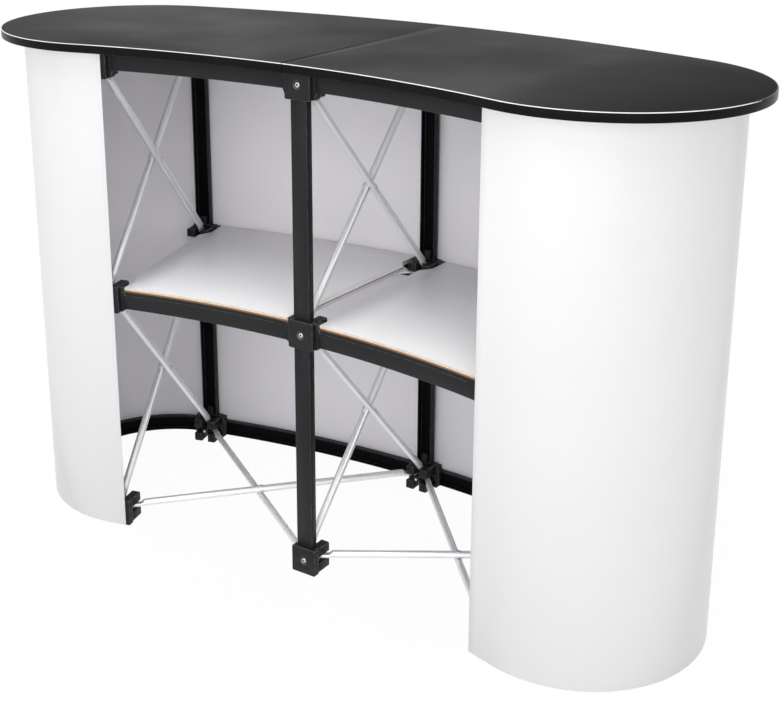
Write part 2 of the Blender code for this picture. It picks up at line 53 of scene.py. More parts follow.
hub_width = hub_high.x - hub_low.x
arc_centre_y = hub_low.y - near_radius
frame_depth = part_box("hub_far_middle_top")[1].y - hub_low.y
far_radius = near_radius + frame_depth
hub_depth = 0.046
plate_thickness = 0.012
plate_corner = 0.0018
pillar_inset = 0.0015
pillar_corner = 0.0015
slot_width = 0.0134
boss_width = 0.012
boss_corner = 0.001
well_radius = 0.0060
well_depth = 0.0035
well_mouth = 0.0008
bore_radius = 0.0027
moulding_edge = 0.0006
overrun = 0.010
fit_gap = 0.0003
well_segments = 40
bore_segments = 20
edge_segments = 2
edge_angle = math.radians(30.0)
sharp_angle = math.radians(50.0)
dust_grey = (0.42, 0.41, 0.40)

columns = {"left": -column_angle, "middle": 0.0, "right": column_angle}
levels = {}
for level in ("bottom", "middle", "top"):
    low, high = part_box("hub_near_middle_" + level)
    levels[level] = (low.z + high.z) / 2


def arc_point(radius, angle, along=0.0, height=0.0):
    """A point on an arc about the arc centre, shifted along the tangent."""
    return Vector((radius * math.sin(angle) + along * math.cos(angle),
                   radius * math.cos(angle) - along * math.sin(angle), height))


def stood(point):
    """A point about the arc centre, moved to where the counter stands."""
    return point + Vector((0.0, arc_centre_y, 0.0))


def hub_axes(side, angle):
    """A hub's own axes about the arc centre: X across its face, Y inward from the face, Z up."""
    radius = far_radius if side == "far" else near_radius
    turn = (math.pi if side == "far" else 0.0) - angle
    return Matrix.Translation(arc_point(radius, angle)) @ Matrix.Rotation(turn, 4, "Z")


def hub_place(side, column, height):
    """The same axes where the counter stands, at a height."""
    return Matrix.Translation((0.0, arc_centre_y, height)) @ hub_axes(side, columns[column])


hub_places = {}
for side in ("near", "far"):
    for column in columns:
        for level, height in levels.items():
            hub_places[side, column, level] = hub_place(side, column, height)


def skinned(rings):
    """A closed mesh through rings that all have the same number of points."""
    count = len(rings[0])
    points = [tuple(point) for ring in rings for point in ring]
    faces = [list(range(count)), list(range(len(points) - count, len(points)))]
    for step in range(len(rings) - 1):
        for i in range(count):
            j = (i + 1) % count
            faces.append([step * count + i, step * count + j,
                          (step + 1) * count + j, (step + 1) * count + i])
    mesh = bpy.data.meshes.new("skinned")
    mesh.from_pydata(points, [], faces)
    shape = bmesh.new()
    shape.from_mesh(mesh)
    bmesh.ops.recalc_face_normals(shape, faces=shape.faces)
    shape.to_mesh(mesh)
    shape.free()
    return mesh


def extruded(outline, axis, low, high):
    """An outline in the plane of the two other axes, drawn out along the axis."""
    rings = []
    for place in (low, high):
        ring = []
        for first, second in outline:
            point = [first, second]
            point.insert(axis, place)
            ring.append(point)
        rings.append(ring)
    return skinned(rings)


def turned(profile, axis, segments):
    """A turned solid, from pairs of radius and place along the axis."""
    rings = []
    for radius, place in profile:
        ring = []
        for i in range(segments):
            turn = math.tau * (i + 0.5) / segments
            point = [radius * math.cos(turn), radius * math.sin(turn)]
            point.insert(axis, place)
            ring.append(point)
        rings.append(ring)
    return skinned(rings)


def moved(mesh, place):
    mesh.transform(place)
    return mesh


def joined(meshes):
    """Several meshes in one, each keeping its own surface."""
    shape = bmesh.new()
    for mesh in meshes:
        shape.from_mesh(mesh)
    whole = bpy.data.meshes.new("joined")
    shape.to_mesh(whole)
    shape.free()
    return whole


def worked(mesh, cutters=(), edge=0.0, edge_highlight=None):
    """The mesh with cutters taken out and its sharp edges rounded, maybe in a finish of their own that
    paints a highlight along them.
    """
    blank = bpy.data.objects.new("blank", mesh)
    bpy.context.scene.collection.objects.link(blank)
    tools = []
    for cutter in cutters:
        tool = bpy.data.objects.new("cutter", cutter)
        bpy.context.scene.collection.objects.link(tool)
        tools.append(tool)
        cut = blank.modifiers.new("cut", "BOOLEAN")
        cut.operation = "DIFFERENCE"
        cut.solver = "EXACT"
        cut.object = tool
    mesh.shade_smooth()
    if edge > 0.0:
        rounding = blank.modifiers.new("rounding", "BEVEL")
        rounding.width = edge
        rounding.segments = edge_segments
        rounding.limit_method = "ANGLE"
        rounding.angle_limit = edge_angle
        rounding.harden_normals = True
        if edge_highlight is not None:
            mesh.materials.append(edge_highlight)
            rounding.material = len(mesh.materials) - 1
    bpy.context.view_layer.update()
    graph = bpy.context.evaluated_depsgraph_get()
    result = bpy.data.meshes.new_from_object(blank.evaluated_get(graph))
    for item in [blank, *tools]:
        bpy.data.objects.remove(item, do_unlink=True)
    result.shade_smooth()
    result.set_sharp_from_angle(angle=sharp_angle)
    return result


def fitted(name, mesh, finish, body="frame", node=None, place=None):
    """A piece in its place on the counter, riding its body and standing for its node."""
    piece = bpy.data.objects.new(name, mesh)
    bpy.context.scene.collection.objects.link(piece)
    if not mesh.materials:
        mesh.materials.append(finish)
    if place is not None:
        piece.matrix_world = place
    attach(piece, body)
    if node is not None:
        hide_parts(node)
    return piece


def split_finish(mesh, outside, inside=None, picked=None):
    """Give a mesh its outside finish, and maybe an inside one on the faces that a test picks."""
    mesh.materials.append(outside)
    if inside is not None:
        mesh.materials.append(inside)
        for face in mesh.polygons:
            if picked(face):
                face.material_index = 1
    return mesh


def effect_group(name, inputs, outputs):
    """An empty shader group with its sockets, its input node and its output node."""
    group = bpy.data.node_groups.new(name, "ShaderNodeTree")
    for label, kind, value in inputs:
        socket = group.interface.new_socket(name=label, in_out="INPUT", socket_type=kind)
        socket.default_value = value
    for label in outputs:
        group.interface.new_socket(name=label, in_out="OUTPUT", socket_type="NodeSocketFloat")
    return group, group.nodes.new("NodeGroupInput"), group.nodes.new("NodeGroupOutput")


def spread(tree, value, low, high, from_low=0.35, from_high=0.65):
    """A value stretched from one range to another."""
    stretch = tree.nodes.new("ShaderNodeMapRange")
    stretch.inputs["From Min"].default_value = from_low
    stretch.inputs["From Max"].default_value = from_high
    stretch.inputs["To Min"].default_value = low
    stretch.inputs["To Max"].default_value = high
    tree.links.new(value, stretch.inputs["Value"])
    return stretch.outputs["Result"]


def blended(tree, mask, under, over):
    """Two colours blended by a mask. Either may be a colour or a socket."""
    blend = tree.nodes.new("ShaderNodeMix")
    blend.data_type = "RGBA"
    colours = [socket for socket in blend.inputs if socket.type == "RGBA"]
    for socket, colour in zip(colours, (under, over)):
        if isinstance(colour, tuple):
            socket.default_value = (*colour, 1.0)
        else:
            tree.links.new(colour, socket)
    tree.links.new(mask, blend.inputs["Factor"])
    return next(socket for socket in blend.outputs if socket.type == "RGBA")


def times(tree, first, second):
    """Two values multiplied and kept between zero and one."""
    product = tree.nodes.new("ShaderNodeMath")
    product.operation = "MULTIPLY"
    product.use_clamp = True
    tree.links.new(first, product.inputs[0])
    tree.links.new(second, product.inputs[1])
    return product.outputs["Value"]


def piece_place(tree):
    """Where a point lies on its own piece."""
    return tree.nodes.new("ShaderNodeTexCoord").outputs["Object"]


def noise_at(tree, place, detail, scale=None):
    """Noise at a place, scaled by a socket where one is given."""
    noise = tree.nodes.new("ShaderNodeTexNoise")
    noise.inputs["Scale"].default_value = 1.0
    noise.inputs["Detail"].default_value = detail
    tree.links.new(place, noise.inputs["Vector"])
    if scale is not None:
        tree.links.new(scale, noise.inputs["Scale"])
    return noise.outputs["Fac"]


def make_mottle():
    """Cloudy and fine variation of a moulded or pressed surface."""
    group, entry, leave = effect_group(
        "mottle", [("Cloud Scale", "NodeSocketFloat", 12.0), ("Grain Scale", "NodeSocketFloat", 900.0)],
        ["Cloud", "Grain"])
    place = piece_place(group)
    for label, scale, detail in (("Cloud", "Cloud Scale", 4.0), ("Grain", "Grain Scale", 2.0)):
        group.links.new(noise_at(group, place, detail, entry.outputs[scale]), leave.inputs[label])
    return group


def make_painted_highlight_patches():
    """Mask of the patches where a pale highlight is painted."""
    group, entry, leave = effect_group(
        "painted_highlight_patches", [("Amount", "NodeSocketFloat", 0.5), ("Patch Scale", "NodeSocketFloat", 90.0)], ["Rubbed"])
    patches = noise_at(group, piece_place(group), 5.0, entry.outputs["Patch Scale"])
    broken = spread(group, patches, 0.0, 1.0, 0.40, 0.62)
    group.links.new(times(group, broken, entry.outputs["Amount"]), leave.inputs["Rubbed"])
    return group


def make_draw_lines():
    """Fine lines left along a drawn, extruded or rolled surface."""
    group, entry, leave = effect_group(
        "draw_lines", [("Stretch", "NodeSocketVector", (1.0, 1.0, 1.0))], ["Lines"])
    stretch = group.nodes.new("ShaderNodeMapping")
    group.links.new(piece_place(group), stretch.inputs["Vector"])
    group.links.new(entry.outputs["Stretch"], stretch.inputs["Scale"])
    group.links.new(noise_at(group, stretch.outputs["Vector"], 3.0), leave.inputs["Lines"])
    return group


def make_dust():
    """Mask of the thin dust that settles on faces that look up."""
    group, entry, leave = effect_group(
        "dust", [("Amount", "NodeSocketFloat", 0.2), ("Patch Scale", "NodeSocketFloat", 14.0)], ["Dust"])
    patches = noise_at(group, piece_place(group), 8.0, entry.outputs["Patch Scale"])
    facing = group.nodes.new("ShaderNodeNewGeometry")
    parts = group.nodes.new("ShaderNodeSeparateXYZ")
    group.links.new(facing.outputs["Normal"], parts.inputs["Vector"])
    upward = spread(group, parts.outputs["Z"], 0.0, 1.0, 0.75, 0.98)
    settled = times(group, upward, spread(group, patches, 0.0, 1.0, 0.40, 0.75))
    group.links.new(times(group, settled, entry.outputs["Amount"]), leave.inputs["Dust"])
    return group


mottle, painted_highlight_patches, draw_lines, dust = make_mottle(), make_painted_highlight_patches(), make_draw_lines(), make_dust()


def placed(tree, group, **values):
    """An effect group in a material, with its own values."""
    node = tree.nodes.new("ShaderNodeGroup")
    node.node_tree = group
    for label, value in values.items():
        node.inputs[label.replace("_", " ")].default_value = value
    return node


def surface(name, tones, roughness, grain, relief, metallic=0.0, specular=0.5, cloud=12.0,
            highlight_colour=None, highlight_amount=0.5, dusty=0.0, lines=None, line_share=0.5):
    """A finish: two tones clouded together, with grain or draw lines, patches of painted highlight and
    dust.
    """
    material = bpy.data.materials.new(name)
    material.use_nodes = True
    tree = material.node_tree
    shader = tree.nodes["Principled BSDF"]
    shader.inputs["Metallic"].default_value = metallic
    shader.inputs["Specular IOR Level"].default_value = specular
    clouds = placed(tree, mottle, Cloud_Scale=cloud, Grain_Scale=grain)
    colour = blended(tree, spread(tree, clouds.outputs["Cloud"], 0.0, 1.0), *tones)
    gloss = clouds.outputs["Cloud"]
    height = clouds.outputs["Grain"]
    if lines is not None:
        drawn = placed(tree, draw_lines, Stretch=lines)
        colour = blended(tree, spread(tree, drawn.outputs["Lines"], 0.0, line_share), colour, tones[1])
        gloss = drawn.outputs["Lines"]
        height = drawn.outputs["Lines"]
    # Paler patches blended into the colour: a painted highlight.
    if highlight_colour is not None:
        highlighted = placed(tree, painted_highlight_patches, Amount=highlight_amount)
        colour = blended(tree, highlighted.outputs["Rubbed"], colour, highlight_colour)
    if dusty > 0.0:
        settled = placed(tree, dust, Amount=dusty)
        colour = blended(tree, settled.outputs["Dust"], colour, dust_grey)
    tree.links.new(colour, shader.inputs["Base Color"])
    tree.links.new(spread(tree, gloss, *roughness), shader.inputs["Roughness"])
    bump = tree.nodes.new("ShaderNodeBump")
    bump.inputs["Strength"].default_value = 1.0
    bump.inputs["Distance"].default_value = relief
    tree.links.new(height, bump.inputs["Height"])
    tree.links.new(bump.outputs["Normal"], shader.inputs["Normal"])
    return material


def cut_cornered(width, corner):
    """Outline of a square with its corners cut off, centred on zero."""
    half = width / 2
    flat = half - corner
    return [(half, -flat), (half, flat), (flat, half), (-flat, half),
            (-half, flat), (-half, -flat), (-flat, -half), (flat, -half)]


def hub_moulding():
    plate = extruded(cut_cornered(hub_width, plate_corner), ABOUT_Y, 0.0, plate_thickness)
    boss = extruded(cut_cornered(boss_width, boss_corner), ABOUT_Y, plate_thickness / 2, hub_depth)
    well = turned([(well_radius + well_mouth, -overrun), (well_radius + well_mouth, 0.0),
                   (well_radius, well_mouth), (well_radius, well_depth)], ABOUT_Y, well_segments)
    bore = turned([(bore_radius, -overrun), (bore_radius, hub_depth + overrun)], ABOUT_Y, bore_segments)
    parts = [worked(plate, [well, bore.copy()]), worked(boss, [bore])]
    inner = slot_width / 2
    outer = hub_width / 2 - pillar_inset
    flat = outer - pillar_corner
    for x_way in (-1.0, 1.0):
        for z_way in (-1.0, 1.0):
            outline = [(inner, inner), (outer, inner), (outer, flat), (flat, outer), (inner, outer)]
            pillar = [(x_way * x, z_way * z) for x, z in outline]
            parts.append(extruded(pillar, ABOUT_Y, plate_thickness / 2, hub_depth))
    return split_finish(joined(parts), hub_nylon)


hub_nylon = surface("hub_nylon", ((0.016, 0.016, 0.017), (0.020, 0.020, 0.021)), (0.42, 0.58),
                    grain=1400.0, relief=0.00004, specular=0.14, cloud=45.0)
# The rounded edges of the hubs and brackets get a lighter finish with paler patches: a painted highlight
# along the edges.
nylon_edge_highlight = surface("hub_nylon_edge_highlight", ((0.035, 0.035, 0.037), (0.060, 0.060, 0.063)), (0.40, 0.50),
                      grain=1400.0, relief=0.00002, specular=0.3, cloud=45.0,
                      highlight_colour=(0.16, 0.16, 0.165), highlight_amount=0.8)
hub = worked(hub_moulding(), edge=moulding_edge, edge_highlight=nylon_edge_highlight)
for key, place in hub_places.items():
    name = "_".join(key)
    fitted("moulding_" + name, hub, hub_nylon, node="hub_" + name, place=place)

# Clamp screws
# One zinc-plated socket screw runs through each hub's boss, from the well in the face plate
# to a short tip behind the boss.
head_radius = 0.0045
head_height = 0.0028
head_round = 0.0006
shank_radius = 0.0024
socket_radius = 0.0021
socket_depth = 0.0025
tip_length = 0.0010
tip_chamfer = 0.0005
screw_segments = 32
socket_sides = 6

screw_zinc = surface("screw_zinc", ((0.60, 0.61, 0.62), (0.78, 0.79, 0.80)), (0.22, 0.36),
                     grain=2200.0, relief=0.00001, metallic=1.0, cloud=300.0)
head_top = well_depth - head_height
screw_blank = turned([(head_radius - head_round, head_top), (head_radius, head_top + head_round),
                      (head_radius, well_depth), (shank_radius, well_depth),
                      (shank_radius, hub_depth + tip_length - tip_chamfer),
                      (shank_radius - tip_chamfer, hub_depth + tip_length)], ABOUT_Y, screw_segments)
hex_socket = turned([(socket_radius, -overrun), (socket_radius, head_top + socket_depth)], ABOUT_Y,
                    socket_sides)
socket_shade = surface("socket_shade", ((0.010, 0.010, 0.011), (0.016, 0.016, 0.017)), (0.50, 0.60),
                       grain=2200.0, relief=0.00001, specular=0.10, cloud=300.0)
screw = split_finish(worked(screw_blank, [hex_socket]), screw_zinc, socket_shade,
                     lambda face: math.hypot(face.center.x, face.center.z) < socket_radius
                     and head_top + head_round < face.center.y < well_depth)
for key, place in hub_places.items():
    fitted("screw_" + "_".join(key), screw, screw_zinc, place=place)

# Crossed rods
# Hexagonal drawn aluminium, pressed flat at both ends and drilled. Each pair crosses on a
# rivet, one rod to each side of the line between its hubs. Column rods have a lock hole.
rod_flats = 0.012
rod_edge = 0.0006
tongue_width = 0.011
tongue_thickness = 0.006
tongue_length = 0.018
neck_length = 0.009
rod_apart = 0.0008
pivot_offset = 0.014
pivot_depth = 0.026
rivet_radius = 0.0025
rivet_hole_radius = 0.0027
lock_hole_radius = 0.0017
lock_hole_drops = (0.0165, 0.012)
lock_hole_segments = 16
hex_corner_share = 0.25
tongue_corner_share = 0.46
tip_turns = (20.0, 42.0, 66.0, 90.0)
neck_steps = 6
rivet_segments = 24


def rod_ring(place, width, thickness, corner_share):
    """Six points round a rod that runs along X, standing on its inner face."""
    base = rod_apart / 2
    points = []
    for across, up in ((-corner_share, 0.0), (corner_share, 0.0), (0.5, 0.5),
                       (corner_share, 1.0), (-corner_share, 1.0), (-0.5, 0.5)):
        points.append((place, across * width, base + up * thickness))
    return points


def rod_mesh(length, crossing, lock_hole_drop=None):
    """A rod from pivot to pivot, drilled where it crosses its mate and maybe across for a lock."""
    corners = rod_flats * 2 / math.sqrt(3.0)
    end = []
    for turn in tip_turns:
        angle = math.radians(turn)
        end.append((-tongue_width / 2 * math.cos(angle), tongue_width * math.sin(angle),
                    tongue_thickness, tongue_corner_share))
    for step in range(neck_steps + 1):
        share = step / neck_steps
        ease = share * share * (3.0 - 2.0 * share)
        end.append((tongue_length + neck_length * share, tongue_width + (corners - tongue_width) * ease,
                    tongue_thickness + (rod_flats - tongue_thickness) * ease,
                    tongue_corner_share + (hex_corner_share - tongue_corner_share) * ease))
    rings = [rod_ring(*ring) for ring in end]
    rings += [rod_ring(length - place, *section) for place, *section in reversed(end)]
    drill = turned([(rivet_hole_radius, -overrun), (rivet_hole_radius, rod_flats + overrun)], ABOUT_Z,
                   bore_segments)
    drills = [moved(drill, Matrix.Translation((crossing, 0.0, 0.0)))]
    if lock_hole_drop is not None:
        drill = turned([(lock_hole_radius, -overrun), (lock_hole_radius, overrun)], ABOUT_Y,
                       lock_hole_segments)
        spot = (crossing - lock_hole_drop, 0.0, (rod_apart + rod_flats) / 2)
        drills.append(moved(drill, Matrix.Translation(spot)))
    return worked(skinned(rings), drills, edge=rod_edge)


def rod_place(start, end, out):
    """A rod's own axes: X from its start to its end, Z away from its mate."""
    along = (end - start).normalized()
    across = out.cross(along)
    axes = Matrix((along, across, out)).transposed().to_4x4()
    return Matrix.Translation(start) @ axes


rod_aluminium = surface("rod_drawn_aluminium", ((0.80, 0.81, 0.83), (0.87, 0.88, 0.89)), (0.36, 0.50),
                        grain=500.0, relief=0.00001, metallic=0.6, lines=(6.0, 1500.0, 1500.0),
                        line_share=0.5)
rivet_face = rod_apart / 2 + rod_flats
rivet_half = [(0.0044, 0.0), (0.0043, 0.0006), (0.0036, 0.0012), (0.0020, 0.0016)]
rivet_profile = [(radius, -rivet_face - rise) for radius, rise in reversed(rivet_half)]
rivet_profile += [(rivet_radius, -rivet_face), (rivet_radius, rivet_face)]
rivet_profile += [(radius, rivet_face + rise) for radius, rise in rivet_half]
rivet = worked(turned(rivet_profile, ABOUT_Z, rivet_segments))


def crossed_pair(name, node, first, second, normal, meshes):
    """Two rods and their rivet; each rod runs between two pivots, given first end to last."""
    for part, rod, out, mesh in (("a", first, normal, meshes[0]), ("b", second, -normal, meshes[1])):
        fitted("rod_" + name + "_" + part, mesh, rod_aluminium,
               node=node if part == "a" else None, place=rod_place(*rod, out))
    along_first = (first[1] - first[0]).normalized()
    share = (second[0] - first[0]).cross(second[1] - second[0]).dot(normal)
    share /= along_first.cross(second[1] - second[0]).dot(normal)
    centre = first[0] + along_first * share
    fitted("rivet_" + name, rivet, screw_zinc,
           place=rod_place(centre, first[1], normal))


storeys = {"lower": ("bottom", "middle"), "upper": ("middle", "top")}
near_pivot_radius = near_radius + pivot_depth
far_pivot_radius = far_radius - pivot_depth
column_rise = levels["middle"] - levels["bottom"] - 2 * pivot_offset
column_rod_length = math.hypot(far_pivot_radius - near_pivot_radius, column_rise)
column_rods = [rod_mesh(column_rod_length, column_rod_length / 2, drop) for drop in lock_hole_drops]
for column, angle in columns.items():
    for storey, (low, high) in storeys.items():
        corner = {}
        for side, radius in (("near", near_pivot_radius), ("far", far_pivot_radius)):
            corner[side, "low"] = stood(arc_point(radius, angle, 0.0, levels[low] + pivot_offset))
            corner[side, "high"] = stood(arc_point(radius, angle, 0.0, levels[high] - pivot_offset))
        normal = arc_point(1.0, angle).cross(Vector((0.0, 0.0, 1.0)))
        crossed_pair(column + "_" + storey, "scissor_" + column + "_" + storey,
                     (corner["far", "low"], corner["near", "high"]),
                     (corner["near", "low"], corner["far", "high"]), normal, column_rods)

bays = {"left": ("left", "middle"), "right": ("middle", "right")}
bay_angles = {"left": -column_angle / 2, "right": column_angle / 2}
near_corner = arc_point(near_pivot_radius, column_angle / 2, -pivot_offset)
far_corner = arc_point(far_pivot_radius, column_angle / 2, -pivot_offset)
bay_rod_length = math.hypot(near_corner.x + far_corner.x, far_corner.y - near_corner.y)
bay_crossing = bay_rod_length * near_corner.x / (near_corner.x + far_corner.x)
bay_rods = [rod_mesh(bay_rod_length, bay_crossing)] * 2
for bay, (left, right) in bays.items():
    for level, height in levels.items():
        corner = {}
        for side, radius in (("near", near_pivot_radius), ("far", far_pivot_radius)):
            corner[side, "left"] = stood(arc_point(radius, columns[left], pivot_offset, height))
            corner[side, "right"] = stood(arc_point(radius, columns[right], -pivot_offset, height))
        crossed_pair(level + "_" + bay, "scissor_" + level + "_" + bay,
                     (corner["near", "left"], corner["far", "right"]),
                     (corner["near", "right"], corner["far", "left"]), Vector((0.0, 0.0, 1.0)), bay_rods)

# Pivot pins
# Short steel pins across the slots of each hub, one through the flat end of every rod.
pin_radius = 0.0015
pin_length = 0.022
pin_segments = 16


def pivot_pins(arms):
    """Pins for the slots that hold a rod, from the slots' ways out of the hub."""
    pins = []
    for way_x, way_z in arms:
        axis = ABOUT_X if way_x == 0 else ABOUT_Z
        pin = turned([(pin_radius, -pin_length / 2), (pin_radius, pin_length / 2)], axis, pin_segments)
        spot = Vector((way_x * pivot_offset, pivot_depth, way_z * pivot_offset))
        pins.append(moved(pin, Matrix.Translation(spot)))
    return worked(joined(pins))


for (side, column, level), place in hub_places.items():
    hand = -1 if side == "far" else 1
    arms = []
    if level != "top":
        arms.append((0, 1))
    if level != "bottom":
        arms.append((0, -1))
    if column != "right":
        arms.append((hand, 0))
    if column != "left":
        arms.append((-hand, 0))
    fitted("pins_" + side + "_" + column + "_" + level, pivot_pins(arms), screw_zinc,
           place=place)

# Posts
# Black extruded channel in lengths between the hubs, open to the inside of the counter. The
# outer near columns have flat strips instead, behind the edges of the skirt. A moulded plug
# on each end hooks into the hub's slot.
post_width = 0.032
post_depth = 0.014
post_wall = 0.0022
post_setback = 0.004
post_edge = 0.0008
strip_width = 0.025
strip_thickness = 0.0030
strip_setback = 0.0004
strip_edge = 0.0005
plug_length = 0.018
hook_length = 0.012
hook_thickness = 0.0032
plug_edge = 0.0005
facing_share = 0.5


def extrusion_finish(name, lines):
    """Satin black of an extruded bar, with its draw lines along the bar."""
    return surface(name, ((0.0155, 0.0155, 0.0165), (0.0180, 0.0180, 0.0190)), (0.38, 0.43), grain=700.0,
                   relief=0.000004, specular=0.12, cloud=9.0, lines=lines, line_share=0.35)


bar_extrusion = extrusion_finish("bar_extrusion_upright", (700.0, 700.0, 5.0))
# The rounded edges of posts, rails and bows get a lighter finish with paler patches: a painted highlight
# along the edges.
bar_edge_highlight = surface("bar_edge_highlight", ((0.020, 0.020, 0.021), (0.028, 0.028, 0.029)), (0.34, 0.40),
                    grain=700.0, relief=0.000004, specular=0.2, cloud=9.0,
                    highlight_colour=(0.07, 0.07, 0.074), highlight_amount=0.6)
# Near-black finish for the faces inside the channels of posts, rails and bows: painted shade in the
# channel's hollow.
channel_painted_shade = surface("channel_painted_shade", ((0.003, 0.003, 0.0035), (0.005, 0.005, 0.0055)), (0.60, 0.75),
                         grain=700.0, relief=0.00002, specular=0.04, cloud=20.0)
post_reach = (levels["middle"] - levels["bottom"] - hub_width) / 2 - fit_gap


def post_channel():
    half = post_width / 2
    inner = half - post_wall
    web = post_setback + post_wall
    back = post_setback + post_depth
    section = [(-half, post_setback), (half, post_setback), (half, back), (inner, back), (inner, web),
               (-inner, web), (-inner, back), (-half, back)]
    bar = extruded(section, ABOUT_Z, -post_reach, post_reach)
    # The faces inside the channel get the painted shade.
    split_finish(bar, bar_extrusion, channel_painted_shade,
                 lambda face: abs(face.center.x) < inner + post_wall / 4 and face.normal.y > -facing_share)
    return worked(bar, edge=post_edge, edge_highlight=bar_edge_highlight)


def post_strip():
    half = strip_width / 2
    back = strip_setback + strip_thickness
    section = [(-half, strip_setback), (half, strip_setback), (half, back), (-half, back)]
    bar = split_finish(extruded(section, ABOUT_Z, -post_reach, post_reach), bar_extrusion)
    return worked(bar, edge=strip_edge, edge_highlight=bar_edge_highlight)


def post_plugs(seat):
    """The hooked plugs of one length, seated on its inside and caught in the hubs' slots."""
    front = plate_thickness + fit_gap
    back = front + hook_thickness
    half = slot_width / 2 - fit_gap
    plugs = []
    for way in (-1.0, 1.0):
        end = way * post_reach
        root = end - way * plug_length
        tip = end + way * hook_length
        side = [(seat, root), (seat, end), (front, end), (front, tip), (back, tip), (back, root)]
        plugs.append(extruded(side, ABOUT_X, -half, half))
    return worked(joined(plugs), edge=plug_edge)


channel = (post_channel(), post_plugs(post_setback + post_wall))
strip = (post_strip(), post_plugs(strip_setback + strip_thickness))
for side in ("near", "far"):
    for column in columns:
        bar, plugs = channel if side == "far" or column == "middle" else strip
        for storey, (low, high) in storeys.items():
            name = side + "_" + column + "_" + storey
            place = hub_place(side, column, (levels[low] + levels[high]) / 2)
            fitted("post_bar_" + name, bar, bar_extrusion, node="post_" + name, place=place)
            fitted("post_plugs_" + name, plugs, hub_nylon, place=place)

# Rails
# Black extruded bars bent to the counter's curve: a channel open to the inside, with a step
# under its top edge. A moulded bracket on each end plugs into the hub's side slot.
rail_rise = 0.0145
rail_drop = 0.0175
rail_wall = 0.0025
rail_ledge = 0.011
rail_setback = 0.008
top_rail_gap = 0.003
band_setback = 0.0004
bead_height = 0.006
bead_depth = 0.0010
rail_edge = 0.0005
bracket_length = 0.010
bracket_depth = 0.016
bracket_gusset = 0.006
shoulder_length = 0.0065
shoulder_rise = 0.0235
rail_plug_length = 0.010
rail_plug_depth = 0.0062
rail_plug_root = 0.004
rail_steps = 24
LEDGE_UNDERSIDE = 5


def arc_stations(radius, start, end, steps, outward):
    """Points along an arc, each with the way out of the frame there."""
    stations = []
    for i in range(steps + 1):
        angle = start + (end - start) * i / steps
        stations.append((arc_point(radius, angle), outward * arc_point(1.0, angle)))
    return stations


def swept(stations, section):
    """A section of offset and height pairs carried along stations."""
    rings = []
    for spot, out in stations:
        rings.append([spot + out * offset + Vector((0.0, 0.0, height)) for offset, height in section])
    return skinned(rings)


top_rail_lift = hub_width / 2 - top_rail_gap - rail_rise


def rail_section(setback, lift=0.0):
    face = -setback
    step = face - bead_depth
    web = face - rail_wall
    lip = face - rail_ledge
    low = lift - rail_drop
    high = lift + rail_rise
    return [(face, low), (face, high - bead_height), (step, high - bead_height), (step, high),
            (lip, high), (lip, high - rail_wall), (web, high - rail_wall), (web, low + rail_wall),
            (lip, low + rail_wall), (lip, low)]


def rail_bracket(setback, way, lift=0.0):
    """A rail's moulded end in its hub's own axes, on the side given by the way."""
    start = hub_width / 2 + fit_gap
    end = start + bracket_length
    shoulder = start + shoulder_length
    foot = pillar_inset - hub_width / 2
    low = lift - rail_drop
    high = lift + rail_rise
    outline = [(start, foot), (start + bracket_gusset / 2, foot), (end, low), (end, high),
               (shoulder, high), (shoulder, shoulder_rise), (start, shoulder_rise)]
    body = extruded([(way * x, z) for x, z in outline], ABOUT_Y, setback, setback + bracket_depth)
    tongue_half = slot_width / 2 - fit_gap
    tip = way * (start - rail_plug_length)
    root = way * (start + rail_plug_root)
    seat = plate_thickness + fit_gap
    tongue = extruded([(tip, -tongue_half), (root, -tongue_half), (root, tongue_half), (tip, tongue_half)],
                      ABOUT_Y, seat, seat + rail_plug_depth)
    return [body, tongue]


def faces_inward(sides):
    """Test for the faces of a swept bar that line its channel, by their place round the section."""
    first, last = LEDGE_UNDERSIDE, LEDGE_UNDERSIDE + 2
    return lambda face: face.index >= 2 and first <= (face.index - 2) % sides <= last


def bracket_turn(radius):
    """Angle from a column to where a bar leaves its bracket."""
    return (hub_width / 2 + fit_gap + bracket_length / 2) / radius


def bar_and_ends(path, section, brackets):
    """A bar swept along a path, its channel painted dark inside as shade, and its brackets joined."""
    bar = split_finish(swept(path, section), rail_extrusion, channel_painted_shade, faces_inward(len(section)))
    ends = split_finish(joined(brackets), hub_nylon)
    return (worked(bar, edge=rail_edge, edge_highlight=bar_edge_highlight),
            worked(ends, edge=plug_edge, edge_highlight=nylon_edge_highlight))


def rail_meshes(side, setback, lift):
    """The bar and the two brackets of one rail, about the arc centre."""
    radius, outward = (far_radius, 1.0) if side == "far" else (near_radius, -1.0)
    half = column_angle / 2
    reach = half - bracket_turn(radius)
    path = arc_stations(radius, -reach, reach, rail_steps, outward)
    brackets = []
    for hand in (-1.0, 1.0):
        for shape in rail_bracket(setback, hand * outward, lift):
            brackets.append(moved(shape, hub_axes(side, hand * half)))
    return bar_and_ends(path, rail_section(setback, lift), brackets)


def bay_axes(bay, height):
    turn = Matrix.Rotation(-bay_angles[bay], 4, "Z") if bay else Matrix.Identity(4)
    return Matrix.Translation((0.0, arc_centre_y, height)) @ turn


rail_extrusion = extrusion_finish("bar_extrusion_curved", (5.0, 5.0, 900.0))
for side, setback, rail_levels in (("near", rail_setback, ("middle", "top")),
                                   ("far", band_setback, tuple(levels))):
    for level in rail_levels:
        bar, brackets = rail_meshes(side, setback, top_rail_lift if level == "top" else 0.0)
        for bay in bays:
            name = side + "_" + level + "_" + bay
            place = bay_axes(bay, levels[level])
            fitted("bar_" + name, bar, rail_extrusion, node="rail_" + name, place=place)
            fitted("brackets_" + name, brackets, hub_nylon, place=place)

